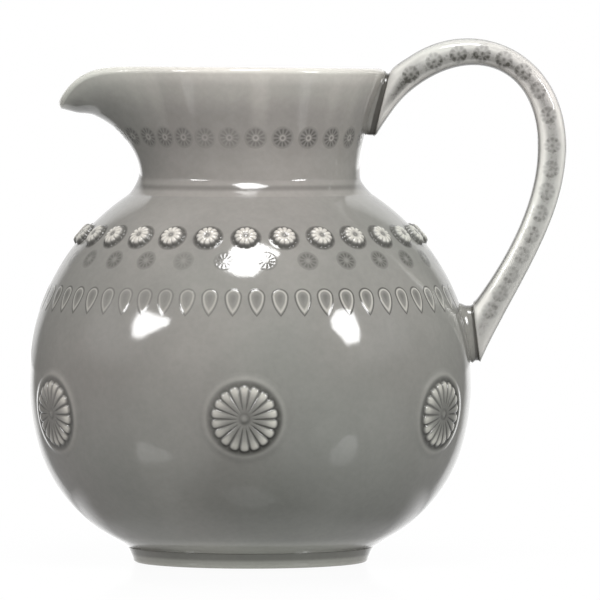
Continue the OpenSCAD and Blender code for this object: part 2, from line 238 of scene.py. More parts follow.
OUTER_REACH = GLOBE_R + HANDLE_REACH
SIDE_Z = GLOBE_Z + HANDLE_SIDE_RISE
CROWN_Z = RIM_Z + HANDLE_RISE
UPPER_TOP_Z = RIM_Z - UPPER_END_DROP
UPPER_LOW_Z = UPPER_TOP_Z - UPPER_END_H
LOWER_LOW_Z = GLOBE_Z + LOWER_END_RISE
LOWER_TOP_Z = LOWER_LOW_Z + LOWER_END_H
OUTER_EDGE = edge_curves(
    (neck_radius(UPPER_TOP_Z) + UPPER_SEAM_TOP_T, UPPER_TOP_Z),
    (OUTER_REACH, SIDE_Z),
    (globe_radius(LOWER_LOW_Z) + LOWER_SEAM_LOW_T, LOWER_LOW_Z),
    CROWN_Z, OUTER_CROWN_SHARES, OUTER_RUN_SHARES,
)
INNER_EDGE = edge_curves(
    (neck_radius(UPPER_LOW_Z) + UPPER_SEAM_LOW_T, UPPER_LOW_Z),
    (OUTER_REACH - HANDLE_T, SIDE_Z),
    (globe_radius(LOWER_TOP_Z) + LOWER_SEAM_TOP_T, LOWER_TOP_Z),
    CROWN_Z - HANDLE_T, INNER_CROWN_SHARES, INNER_RUN_SHARES,
)


def edge_point(edge, share):
    return cubic(edge[0], share * 2) if share < 0.5 else cubic(edge[1], share * 2 - 1)


def handle_middle(share):
    return (edge_point(OUTER_EDGE, share) + edge_point(INNER_EDGE, share)) / 2


def handle_across(share):
    return (edge_point(OUTER_EDGE, share) - edge_point(INNER_EDGE, share)) / 2


def handle_half_w(share):
    from_end = min(share, 1 - share)
    return mix(HANDLE_END_W, HANDLE_W, smooth(0, HANDLE_END_SHARE, from_end)) / 2


def rounded(c):
    return math.copysign(abs(c) ** (2 / HANDLE_SQUARENESS), c)


def root_swell(share, place):
    """How far the handle's edge swells out where it is luted to the jug."""
    if place > 0:
        return UPPER_BROW * (1 - smooth(0, 0.05, share))
    upper = UPPER_LOBE * smooth(-0.005, 0.01, share) * (1 - smooth(0.012, 0.085, share))
    return upper + LOWER_LOBE * (1 - smooth(0, 0.035, 1 - share))


def handle_point(share, turn, size):
    across = handle_across(share)
    place = rounded(math.cos(turn)) * size
    across = across * (1 + root_swell(share, place) / across.length)
    flat = handle_middle(share) + across * place
    return Vector((flat.x, -handle_half_w(share) * rounded(math.sin(turn)) * size, flat.y))


def handle_pace(share):
    return (handle_middle(share + SLOPE_STEP) - handle_middle(share - SLOPE_STEP)) / (2 * SLOPE_STEP)


def spout_roll(angle, t):
    """How much fuller than its curve the spout is below its lip."""
    return SPOUT_ROLL * spout_pull(angle) * smooth(0.77, 0.92, t)


# How thick the glaze lies on the globe, the neck and the handle, with painted light and shade added in:
# from -1, pale (thin over an edge, painted light), through 0 to 1, dark (pooled, painted shade)

def globe_tone(angle, z):
    """Below the widest part: painted shade on the front, and painted light on the front-left, towards the
    spout's side.
    """
    shaded_at, lit_at = 4.75, 4.05
    # painted shade on the lower front
    front = 0.1 * smooth(0.9, 1, math.cos(angle - shaded_at))
    # painted light on the lower front-left
    side = 0.14 * smooth(0.85, 1, math.cos(angle - lit_at))
    return (front - side) * (1 - smooth(0.03, 0.08, z)) * smooth(0.008, 0.025, z)


def neck_tone(angle, t):
    """Paler towards the rim, with pale streaks below it that are a painted reflection, painted shade under
    the spout, and painted light on the front-right side.
    """
    lit_at = 5.4
    # painted reflection: pale bands round the upper neck
    reflected_bands = 0.5 * math.sin(7 * angle) + 0.3 * math.sin(13 * angle + 1.1) + 0.2 * math.sin(29 * angle + 0.4)
    pull = smooth(0.3, 0.9, spout_pull(angle))
    rim = 0.45 * smooth(0.7, 1, t) * (1 - 0.2 * pull) + 0.42 * smooth(0.92, 1, t) * (1 - 0.4 * pull)
    foot = -0.06 * (1 - smooth(0.12, 0.3, t))
    # painted light: paler on the front-right side
    painted_light_side = 0.1 * math.cos(angle - lit_at)
    # painted shade under the spout, below its lip
    spout_underside_shade = 0.4 * smooth(0.8, 1, spout_pull(angle)) * smooth(0.6, 0.8, t) * (1 - smooth(0.93, 1, t))
    return spout_underside_shade - rim - foot - painted_light_side - 0.16 * smooth(0.1, 0.8, reflected_bands) * smooth(0.45, 0.8, t)


def handle_tone(share, across):
    """Across runs from -1 at the inner edge to 1 at the outer: pale on both rounded edges, from thin glaze
    and painted light, darker between.
    The crown and the run down from it each shift that section in their own way with painted light and
    shade; near the upper end the root and shade terms are painted shade."""
    # pale rounded edges: thin glaze and painted light
    section = (
        (-1, 0.5), (-0.94, 0.4), (-0.86, -0.1), (-0.74, -0.95), (-0.56, -0.9), (-0.4, -0.25), (-0.24, 0.15),
        (0.1, 0.1), (0.35, -0.2), (0.56, -0.6), (0.74, -0.95), (0.86, -0.8), (0.92, -0.3), (0.96, 0.35),
        (1, 0.65),
    )
    crown = (
        (-1, 0), (-0.6, 0.08), (-0.4, 0.15), (-0.2, 0.13), (0, -0.1), (0.2, -0.28), (0.4, -0.25),
        (0.6, 0.3), (0.8, 0.4), (1, 0.1),
    )
    run = (
        (-0.8, 0.05), (-0.6, -0.18), (-0.4, -0.36), (-0.2, -0.28), (0, -0.04), (0.2, 0.07), (0.4, 0.18),
        (0.6, 0.3), (0.8, 0),
    )
    past_root = smooth(0.06, 0.12, share)
    # painted shade in the middle of the handle near its upper root
    root = smooth(0.018, 0.05, share) * (1 - smooth(0.06, 0.11, share))
    root *= 0.55 * (1 - smooth(0.3, 0.75, abs(across)))
    band = 0.2 * (1 - smooth(0.2, 0.6, abs(across))) * past_root * (1 - smooth(0.35, 0.7, share))
    # painted shade on the inner half between the root and the crown
    shade = 0.5 * smooth(-0.2, -0.5, across) * past_root * (1 - smooth(0.25, 0.42, share))
    # painted light and shade that shift where the crown and the run are pale
    painted_lean = mix(through(crown, across), through(run, across), smooth(0.3, 0.5, share))
    from_end = smooth(0, 0.03, min(share, 1 - share))
    return root + band + shade + mix(-0.25, through(section, across) + painted_lean, from_end)


# Seats: where a point of a flat motif (east, north, lift) comes to lie on the jug, and the glaze tone under
# it, with its painted light and shade

def globe_seat(azimuth, lat, shaded_r=0):
    """Seat on the globe and, below it, on the haunch.
    Within shaded_r, painted shade darkens the half towards the jug's back."""
    out = Vector((math.cos(lat) * math.cos(azimuth), math.cos(lat) * math.sin(azimuth), math.sin(lat)))
    right = Vector((-math.sin(azimuth), math.cos(azimuth), 0))
    up = out.cross(right)

    def seat(east, north, lift):
        aim = (out * GLOBE_R + right * east + up * north).normalized()
        level = math.asin(aim.z)
        turn = math.atan2(aim.y, aim.x)
        centre, radius = Vector((0, GLOBE_Z)), GLOBE_R
        if level < -HAUNCH_ANGLE:
            level = -HAUNCH_ANGLE + (level + HAUNCH_ANGLE) * GLOBE_R / HAUNCH_R
            centre, radius = HAUNCH_CENTRE, HAUNCH_R
        r = centre.x + (radius + lift) * math.cos(level)
        z = centre.y + (radius + lift) * math.sin(level)
        under = globe_tone(turn % math.tau, z)
        if shaded_r:
            from_middle = math.hypot(east, north) / shaded_r
            # painted shade on the motif's half towards the jug's back
            under += 0.45 * max(0, right.y * east / shaded_r) * (1 - smooth(0.9, 1.2, from_middle))
        return Vector((r * math.cos(turn), r * math.sin(turn), z)), under
    return seat


def neck_seat(angle):
    place = neck_place(NECK_DAISY_Z)
    round_pace = (neck_point(angle + SLOPE_STEP, place) - neck_point(angle - SLOPE_STEP, place)).length
    rise_pace = (neck_point(angle, place + SLOPE_STEP) - neck_point(angle, place - SLOPE_STEP)).length

    def seat(east, north, lift):
        a = angle + east * 2 * SLOPE_STEP / round_pace
        t = place + north * 2 * SLOPE_STEP / rise_pace
        return neck_point(a, t) + neck_out(a, t) * lift, neck_tone(a, t)
    return seat


def handle_seat(share, side):
    """Seat on the handle's flat side, with east along the handle and north towards its outer edge."""
    pace = handle_pace(share).length

    def seat(east, north, lift):
        place = share + east / pace
        ahead = handle_pace(place).normalized()
        flat = handle_middle(place) + Vector((-ahead.y, ahead.x)) * north
        for _ in range(2):
            along, half_t, away = handle_pace(place), handle_across(place), flat - handle_middle(place)
            area = half_t.cross(along)
            across = max(-1, min(1, away.cross(along) / area))
            place += half_t.cross(away) / area
        bulge = (1 - abs(across) ** HANDLE_SQUARENESS) ** (1 / HANDLE_SQUARENESS)
        y = side * (handle_half_w(place) * bulge + lift)
        return Vector((flat.x, y, flat.y)), handle_tone(place, across)
    return seat


# Bench work

def put_down():
    if bpy.context.mode != "OBJECT":
        bpy.ops.object.mode_set(mode="OBJECT")
    bpy.ops.object.select_all(action="DESELECT")


def picked_up(piece):
    put_down()
    piece.select_set(True)
    bpy.context.view_layer.objects.active = piece


def merged(piece):
    picked_up(piece)
    bpy.ops.object.mode_set(mode="EDIT")
    bpy.ops.mesh.select_all(action="SELECT")
    bpy.ops.mesh.remove_doubles(threshold=MERGE_DISTANCE)
    bpy.ops.object.mode_set(mode="OBJECT")


def faced_outwards(piece):
    picked_up(piece)
    bpy.ops.object.mode_set(mode="EDIT")
    bpy.ops.mesh.select_all(action="SELECT")
    bpy.ops.mesh.normals_make_consistent(inside=False)
    bpy.ops.object.mode_set(mode="OBJECT")
    bpy.ops.object.shade_smooth()


def turned(name, outline, steps):
    """A piece thrown on the wheel: one point drawn out along (radius, height) and spun round the axis."""
    put_down()
    bpy.ops.mesh.primitive_plane_add(size=GLOBE_R)
    piece = bpy.context.object
    piece.name = name
    piece.data.name = name
    bpy.ops.object.mode_set(mode="EDIT")
    bpy.ops.mesh.merge(type="CENTER")
    bpy.ops.transform.translate(value=(outline[0][0], 0, outline[0][1]))
    for here, there in zip(outline, outline[1:]):
        step = (there[0] - here[0], 0, there[1] - here[1])
        bpy.ops.mesh.extrude_vertices_move(TRANSFORM_OT_translate={"value": step})
    bpy.ops.mesh.select_all(action="SELECT")
    bpy.ops.mesh.spin(steps=steps, angle=math.tau, center=(0, 0, 0), axis=(0, 0, 1))
    merged(piece)
    faced_outwards(piece)
    return piece


def worked(piece, hand):
    """Carries each point of a piece by hand(point), which gives its place and its glaze tone: how thick its
    glaze lies, with painted light and shade.
    """
    glaze = piece.data.attributes.new("glaze", "FLOAT", "POINT")
    for vertex, lies in zip(piece.data.vertices, glaze.data):
        vertex.co, lies.value = hand(vertex.co)
    piece.data.update()
    return piece


def laid(motif, name, seats, strengths=None):
    """Copies of a flat motif laid on their seats, as one piece; strengths scale their glaze tones, painted
    light and shade included.
    """
    copies = []
    for seat, strength in zip(seats, strengths or [1] * len(seats)):
        picked_up(motif)
        bpy.ops.object.duplicate()
        copy = bpy.context.object
        for vertex, lies in zip(copy.data.vertices, copy.data.attributes["glaze"].data):
            vertex.co, under = seat(*vertex.co)
            lies.value = under + lies.value * strength
        copies.append(copy)
    put_down()
    for copy in copies:
        copy.select_set(True)
    bpy.context.view_layer.objects.active = copies[0]
    if len(copies) > 1:
        bpy.ops.object.join()
    piece = copies[0]
    piece.name = name
    piece.data.name = name
    faced_outwards(piece)
    return piece


def arc(centre, radius, start, end, count):
    """Points of an arc, both ends included, as (radius, height)."""
    angles = [mix(start, end, i / count) for i in range(count + 1)]
    return [(centre[0] + radius * math.cos(a), centre[1] + radius * math.sin(a)) for a in angles]


def straight(start, end, count):
    """Points of a straight line, without its start."""
    shares = [i / count for i in range(1, count + 1)]
    return [(mix(start[0], end[0], share), mix(start[1], end[1], share)) for share in shares]


# The globe: outside from the foot up, throat, inside and floor

def globe():
    inner_r = GLOBE_R - GLOBE_WALL
    inner_haunch = HAUNCH_R - GLOBE_WALL
    throat_lat = math.acos(THROAT_R / inner_r)
    floor_angle = -math.asin((HAUNCH_CENTRE.y - FLOOR_Z) / inner_haunch)
    axis = Vector((0, GLOBE_Z))
    outline = [(0, FOOT_H), (FOOT_R / 2, FOOT_H), tuple(FOOT_CORNER)]
    outline += arc(HAUNCH_CENTRE, HAUNCH_R, HAUNCH_END_ANGLE, -HAUNCH_ANGLE, 44)
    outline += arc(axis, GLOBE_R, -HAUNCH_ANGLE, COLLAR_LAT, 96)[1:]
    outline += straight((COLLAR_R, COLLAR_Z), (THROAT_R, COLLAR_Z), 2)
    outline += arc(axis, inner_r, throat_lat, -HAUNCH_ANGLE, 48)
    outline += arc(HAUNCH_CENTRE, inner_haunch, -HAUNCH_ANGLE, floor_angle, 28)[1:]
    outline += [(THROAT_R, FLOOR_Z), (0, FLOOR_Z)]
    piece = turned("thrown_globe", outline, ROUND_STEPS)

    def hand(point):
        r = math.hypot(point.x, point.y)
        from_foot = math.hypot(r - FOOT_R, point.z - FOOT_H)
        # painted light: paler close to the foot, lightening the shaded corner there
        painted_light_near_foot = 0.35 * (1 - smooth(0, 0.014, from_foot)) + 0.55 * (1 - smooth(0.001, 0.004, from_foot))
        return point.copy(), globe_tone(math.atan2(point.y, point.x), point.z) - painted_light_near_foot
    return worked(piece, hand)


# The foot ring: crisp top edge, tapering side, rounded where it stands

def foot():
    inner = FOOT_R - FOOT_WALL
    low_r = FOOT_R - FOOT_TAPER
    corner = (low_r - FOOT_ROUND, FOOT_ROUND)
    outline = [(inner, FOOT_H)]
    outline += straight((inner, FOOT_H), (inner, FOOT_ROUND), 3)
    outline += arc((inner + FOOT_ROUND, FOOT_ROUND), FOOT_ROUND, math.pi, math.pi * 1.5, 6)[1:]
    outline += arc(corner, FOOT_ROUND, -math.pi / 2, 0, 8)
    outline += straight((low_r, FOOT_ROUND), (FOOT_R, FOOT_H), 10)
    outline += straight((FOOT_R, FOOT_H), (inner, FOOT_H), 3)
    piece = turned("turned_foot", outline, ROUND_STEPS)

    def hand(point):
        # painted shadow under the globe's overhang darkens the ring's upper part; it is paler along its
        # lower edge
        crease_shade = smooth(FOOT_H * 0.4, FOOT_H * 0.62, point.z)
        edge = 0.7 * (1 - smooth(0, FOOT_ROUND * 1.1, point.z))
        return point.copy(), 0.9 * crease_shade - edge
    return worked(piece, hand)


# The neck: a fillet up from the globe, the flared wall, a half-round lip, the inside and the base

def neck():
    fillet, wall, lip, inside = 18, 60, 14, 40
    rows = fillet + wall + lip + inside
    outline = [(BLANK, BLANK * i / rows) for i in range(rows + 1)]
    outline += [(BLANK / 2, BLANK), (BLANK / 2, 0), (BLANK, 0)]
    piece = turned("pulled_neck", outline, ROUND_STEPS)
    fillet_lat = math.acos((COLLAR_R + FOOT_OF_NECK_FILLET) / GLOBE_R)

    def throat_point(angle):
        return Vector((THROAT_R * math.cos(angle), THROAT_R * math.sin(angle), COLLAR_Z))

    def fillet_point(angle, share):
        seat = globe_seat(angle, fillet_lat)
        low = seat(0, 0, -0.00002)[0]
        high = neck_point(angle, FILLET_SHARE)
        heel = seat(0, FOOT_OF_NECK_FILLET * 0.8, 0)[0]
        instep = high - neck_along(angle, FILLET_SHARE) * (high.z - COLLAR_Z) * 0.45
        return cubic((low, mix(low, heel, 0.5), instep, high), share)

    def hand(point):
        angle = math.atan2(point.y, point.x) % math.tau
        row = round(point.z / BLANK * rows)
        if math.hypot(point.x, point.y) < BLANK * 0.75:
            return throat_point(angle), 0.0
        if row <= fillet:
            share = row / fillet
            # pooled glaze and painted shade where the neck meets the globe
            crease_shade = 0.42 * smooth(0.35, 0.55, share) * (1 - smooth(0.57, 0.75, share))
            return fillet_point(angle, share), crease_shade
        if row <= fillet + wall:
            t = mix(FILLET_SHARE, 1, (row - fillet) / wall)
            return neck_point(angle, t) + neck_out(angle, t) * spout_roll(angle, t), neck_tone(angle, t)
        if row <= fillet + wall + lip:
            turn = math.pi * (row - fillet - wall) / lip
            out, along = neck_out(angle, 1), neck_along(angle, 1)
            fuller = spout_roll(angle, 1)
            place = neck_point(angle, 1) + out * (fuller + (math.cos(turn) - 1) * (LIP_T + fuller) / 2)
            return place + along * (math.sin(turn) * LIP_T / 2), mix(-0.9, -1, math.sin(turn))
        t = 1 - (row - fillet - wall - lip) / inside
        place = neck_point(angle, t) - neck_out(angle, t) * mix(NECK_WALL, LIP_T, t)
        if row == rows:
            place = throat_point(angle)
        return place, -0.9 * smooth(0.7, 1, t)

    worked(piece, hand)
    merged(piece)
    faced_outwards(piece)
    return piece


# The handle: a rounded-square section drawn along its two edges

def handle():
    rows = 200
    outline = [(0, 0), (0.93, 0), (0.975, 0.0015), (0.995, 0.005)]
    outline += [(1, mix(0.012, 0.988, i / rows)) for i in range(rows + 1)]
    outline += [(0.995, 0.995), (0.975, 0.9985), (0.93, 1), (0, 1)]
    piece = turned("pulled_handle", [(r * BLANK, z * BLANK) for r, z in outline], HANDLE_SIDES)

    def hand(point):
        size = math.hypot(point.x, point.y) / BLANK
        turn = math.atan2(point.y, point.x)
        share = point.z / BLANK
        return handle_point(share, turn, size), handle_tone(share, rounded(math.cos(turn)))

    worked(piece, hand)
    faced_outwards(piece)
    return piece


# The slip seams that hold the handle's two ends

def seam(name, share, radius_at, groove, depth):
    """Slip between the jug (rise 0) and one end of the handle (rise 1): a pale lip, a painted highlight,
    before a dark groove of pooled glaze and painted shade. radius_at(z) is the jug's own radius; groove
    tells where the groove starts at the handle's inner and outer edge, and depth how dark the groove is."""
    rows = 16
    outline = [(0, 0), (0.5, 0)] + [(1, i / rows) for i in range(rows + 1)] + [(0.5, 1), (0, 1)]
    piece = turned(name, [(r * BLANK, z * BLANK) for r, z in outline], HANDLE_SIDES)

    def hand(point):
        size = math.hypot(point.x, point.y) / BLANK
        turn = math.atan2(point.y, point.x)
        rise = point.z / BLANK
        place = rounded(math.cos(turn))
        flare = 0.04 * (1 - smooth(0, 0.4, rise)) - 0.04 * smooth(0.2, 0.5, rise) * smooth(1, 0.8, rise)
        flare += 0.09 * (1 - share) * smooth(-0.6, -0.95, place) * smooth(0.1, 0.5, rise)
        far = handle_point(share, turn, size * (SEAM_SHARE + flare))
        r = radius_at(far.z)
        near = Vector((math.sqrt(r * r - far.y ** 2), far.y, far.z))
        start = mix(*groove, (place + 1) / 2)
        # painted highlight on the pale lip; the groove and the saddle are pooled glaze and painted shade
        lip = -0.8 * smooth(start - 0.3, start - 0.08, rise)
        tone = mix(lip, depth, smooth(start - 0.06, start + 0.08, rise))
        saddle = depth * smooth(-0.85, -0.97, place) * smooth(0.2, 0.4, rise)
        return near.lerp(far, mix(-0.05, 1.02, rise)), max(tone, saddle)

    worked(piece, hand)
    faced_outwards(piece)
    return piece


# Flat motifs, pressed in a mould before they are laid on the jug

def pressed(name, radii, columns, die):
    """A round pad with a flat back; die(radius, turn) gives place, lift and glaze on its face."""
    edge = radii[-1]
    outline = [(r, 0) for r in radii] + [(edge / 2, -UNDERSIDE), (0, -UNDERSIDE)]
    piece = turned(name, outline, columns)

    def hand(point):
        r = math.hypot(point.x, point.y)
        if point.z < -UNDERSIDE / 2:
            return point.copy(), 0.0
        turn = math.atan2(point.y, point.x)
        reach, lift, glaze = die(r, turn)
        return Vector((reach * math.cos(turn), reach * math.sin(turn), lift)), glaze
    return worked(piece, hand)


def across_petal(turn, petals):
    """0 on a petal's crest to 1 in the groove between two petals."""
    return abs(2 * ((turn / math.tau * petals) % 1) - 1)


def rounded_tip(across):
    return 1 - math.sqrt(max(0.0, 1 - across * across))


def large_rosette():
    """Low domed petals in a soft hollow with a faint swelling round it; heights in millimetres."""
    crest = (
        (0, 1.35), (0.05, 1.32), (0.09, 1.15), (0.14, 0.95), (0.2, 1.12), (0.3, 1.28), (0.5, 1.38),
        (0.72, 1.38), (0.8, 1.33), (0.86, 1.22), (0.91, 1.05), (0.95, 0.8), (0.975, 0.56), (0.99, 0.36),
        (1, 0.22),
    )
    hollow = (
        (1, 0.22), (1.03, 0.2), (1.06, 0.23), (1.09, 0.3), (1.12, 0.37), (1.15, 0.41), (1.18, 0.4),
        (1.21, 0.35), (1.24, 0.27), (1.27, 0.19), (1.3, 0.12), (1.33, 0.07), (1.36, 0.03), (1.4, 0),
        (1.44, -0.03), (1.5, -0.1),
    )
    grooves = ((0.2, 0), (0.3, 0.25), (0.6, 0.55), (0.8, 0.7), (0.92, 0.5), (1, 0))
    tone = (
        (0, 0.05), (0.06, 0.15), (0.1, 0.5), (0.15, 0.5), (0.2, 0.25), (0.4, 0.1), (0.65, -0.3), (0.86, -1),
        (0.93, -0.9), (0.975, 0.2), (1, 0.9),
    )
    shares = [
        0, 0.03, 0.06, 0.09, 0.12, 0.15, 0.18, 0.21, 0.25, 0.3, 0.36, 0.43, 0.5, 0.57, 0.64, 0.71, 0.77,
        0.83, 0.88, 0.92, 0.95, 0.975, 0.99,
    ]
    shares += [share for share, height in hollow]

    def die(r, turn):
        share = r / LARGE_ROSETTE_R
        across = across_petal(turn, LARGE_PETALS)
        strength = 0.85 + 0.2 * math.cos(turn + 0.7)
        if share > PAST_EDGE:
            halo = 0.95 * (1 - smooth(0.99, 1.18, share))
            # A pale ring on the raised lip: thin glaze and a painted highlight.
            halo -= 0.15 * smooth(1.09, 1.17, share) * (1 - smooth(1.2, 1.33, share))
            notch = 0.12 * rounded_tip(across) * (1 - smooth(1, 1.1, share))
            return r * (1 - notch), through(hollow, share) / 1000, halo * strength
        notch = 0.12 * rounded_tip(across) * smooth(0.4, 1, share)
        groove = smooth(0.2, 0.3, share) * rounded_tip(across)
        lift = (through(crest, share) - groove * through(grooves, share)) / 1000
        dark = 0.85 * smooth(0.4, 1, across) * smooth(0.2, 0.38, share)
        return r * (1 - notch), max(lift, LEAST_LIFT), mix(through(tone, share), 0.8, dark) * strength
    return pressed("large_mould", [s * LARGE_ROSETTE_R for s in shares], LARGE_PETALS * 12, die)


def shoulder_rosette():
    """A small high button of petals, whose last rings run under the globe; heights in millimetres."""
    body_r = SHOULDER_ROSETTE_R * 0.94
    crest = (
        (0, 1.75), (0.08, 1.65), (0.16, 1.6), (0.3, 1.9), (0.45, 1.95), (0.62, 1.85), (0.76, 1.6),
        (0.83, 1.3), (0.88, 0.85), (0.93, 0.35), (1, 0.08),
    )
    grooves = ((0.2, 0), (0.35, 0.15), (0.7, 0.4), (0.88, 0.4), (1, 0))
    tone = (
        (0, -0.3), (0.08, 0.2), (0.14, 0.3), (0.22, -0.3), (0.4, -0.85), (0.62, -0.85), (0.72, -0.7),
        (0.81, -0.05), (0.88, 0.65), (1, 0.8),
    )
    shares = (
        0, 0.07, 0.13, 0.19, 0.25, 0.32, 0.4, 0.5, 0.6, 0.7, 0.78, 0.83, 0.87, 0.91, 0.95, 1,
        1.04, 1.1, 1.16, 1.22, 1.28, 1.36,
    )

    def die(r, turn):
        share = r / body_r
        across = across_petal(turn, SHOULDER_PETALS)
        if share > PAST_EDGE:
            halo = 0.78 * (1 - smooth(1.0, 1.28, share))
            notch = 0.1 * rounded_tip(across) * (1 - smooth(1, 1.2, share))
            return r * (1 - notch), mix(0.00004, -0.00006, smooth(1.05, 1.36, share)), halo
        notch = 0.1 * rounded_tip(across) * smooth(0.4, 1, share)
        lift = (through(crest, share) - rounded_tip(across) * through(grooves, share)) / 1000
        dark = 0.6 * smooth(0.55, 1, across) * smooth(0.3, 0.6, share)
        return r * (1 - notch), max(lift, LEAST_LIFT), mix(through(tone, share), 0.5, dark)
    return pressed("shoulder_mould", [s * body_r for s in shares], SHOULDER_PETALS * 8, die)


def drop():
    """A pointed drop: round above, its two sides arcs that meet in the tip below. Relief in millimetres."""
    round_r = DROP_W / 2
    tip = DROP_H - round_r
    side_centre = (tip ** 2 - round_r ** 2) / (2 * round_r)
    shares = (0, 0.2, 0.36, 0.48, 0.58, 0.66, 0.74, 0.82, 0.89, 0.95, 1, 1.05, 1.12, 1.2, 1.28, 1.36)
    relief = (
        (0, 0.08), (0.3, 0.08), (0.45, 0.05), (0.6, 0.05), (0.74, 0.09), (0.86, 0.1), (0.93, 0.07),
        (1, 0.02),
    )
    tone = (
        (0, 0.42), (0.28, 0.36), (0.45, 0.12), (0.6, 0.12), (0.72, -0.35), (0.84, -0.6), (0.91, 0),
        (1, 0.8),
    )

    def die(r, turn):
        share = r / round_r
        below = abs(math.remainder(turn + math.pi / 2, math.tau))
        outline = round_r
        if below < math.pi / 2:
            inset = side_centre * math.sin(below)
            outline = math.sqrt(inset ** 2 + tip ** 2) - inset
        reach = min(share, 1) * outline + max(0, r - round_r)
        if share > PAST_EDGE:
            halo = 0.8 * (1 - smooth(1, 1.24, share))
            return reach, mix(0.00002, -0.00005, smooth(1.05, 1.36, share)), halo
        return reach, through(relief, share) / 1000, through(tone, share)

    piece = pressed("drop_mould", [s * round_r for s in shares], 48, die)
    lower = (tip - round_r) / 2
    for vertex in piece.data.vertices:
        vertex.co.y += lower
    return piece


def daisy(name, pad_r, pad_h, dashes, dash_from, dash_to, middle_relief, middle_tone, wash, dash_tone):
    """A faint stamped pad with a ring of dashes round a small middle; lengths in millimetres."""
    middle = dash_from - 0.3
    radii = [middle * i / 7 for i in range(7)]
    radii += [mix(middle, dash_to + 0.3, i / 8) for i in range(9)]
    radii += [mix(dash_to + 0.3, pad_r + 1.4, i / 5) for i in range(1, 6)]

    def die(r, turn):
        mm = r * 1000
        across = across_petal(turn, dashes)
        starts = smooth(dash_from - 0.3, dash_from + 0.2, mm)
        ends = smooth(dash_to - 0.2, dash_to + 0.3, mm)
        dash = starts * (1 - ends) * (1 - smooth(0.2, 0.95, across))
        fall = 1 - smooth(dash_to + 0.1, pad_r + 1.2, mm)
        lift = mix(-0.03, pad_h, fall) + through(middle_relief, mm) - 0.8 * pad_h * dash
        tone = through(middle_tone, mm) if mm < middle else mix(wash * fall, dash_tone, dash)
        return r, lift / 1000, tone
    return pressed(name, [r / 1000 for r in radii], dashes * 8, die)


def dotted_daisy():
    """A faint stamped pad with a ring of dots round a middle dot; lengths in millimetres."""
    dots, ring, dot_r = 9, 2.55, 0.95
    radii = (
        0, 0.25, 0.5, 0.75, 1, 1.25, 1.5, 1.75, 1.95, 2.15, 2.35, 2.55, 2.75, 2.95, 3.15, 3.35, 3.6, 3.9,
    )

    def die(r, turn):
        mm = r * 1000
        across = across_petal(turn, dots)
        sideways = across * math.pi / dots * ring
        away = math.hypot(mm - ring, sideways)
        dot = max(1 - smooth(0.05, dot_r * 1.5, away), 1 - smooth(0, 1.1, mm))
        lift = mix(-0.03, 0.06, 1 - smooth(2.9, 3.8, mm)) - 0.05 * dot
        return r, lift / 1000, mix(0.1 * (1 - smooth(2, 3.6, mm)), 0.62, dot)
    return pressed("handle_mould", [r / 1000 for r in radii], dots * 8, die)


# Nodes for the glazes and the studio

def fed(tree, socket, value):
    """Joins a socket to another node's output, or sets it to a plain value."""
    if isinstance(value, bpy.types.NodeSocket):
        tree.links.new(value, socket)
    else:
        socket.default_value = value


def reckoned(tree, how, a, b=0):
    node = tree.nodes.new("ShaderNodeMath")
    node.operation = how
    fed(tree, node.inputs[0], a)
    fed(tree, node.inputs[1], b)
    return node.outputs[0]


def product(tree, value, *others):
    for other in others:
        value = reckoned(tree, "MULTIPLY", value, other)
    return value


def largest(tree, value, *others):
    for other in others:
        value = reckoned(tree, "MAXIMUM", value, other)
    return value


def ranged(tree, value, low, high, to_low, to_high, slope="LINEAR"):
    node = tree.nodes.new("ShaderNodeMapRange")
    node.interpolation_type = slope
    tree.links.new(value, node.inputs["Value"])
    for socket, number in zip(node.inputs[1:5], (low, high, to_low, to_high)):
        socket.default_value = number
    return node.outputs["Result"]


def eased(tree, value, low, high, to_low, to_high):
    return ranged(tree, value, low, high, to_low, to_high, "SMOOTHSTEP")


def split_up(tree, vector):
    """The X, Y and Z of a vector."""
    node = tree.nodes.new("ShaderNodeSeparateXYZ")
    tree.links.new(vector, node.inputs[0])
    return node.outputs[0], node.outputs[1], node.outputs[2]


def grey(tree, value):
    node = tree.nodes.new("ShaderNodeCombineColor")
    for socket in node.inputs[:3]:
        tree.links.new(value, socket)
    return node.outputs[0]


# Glaze

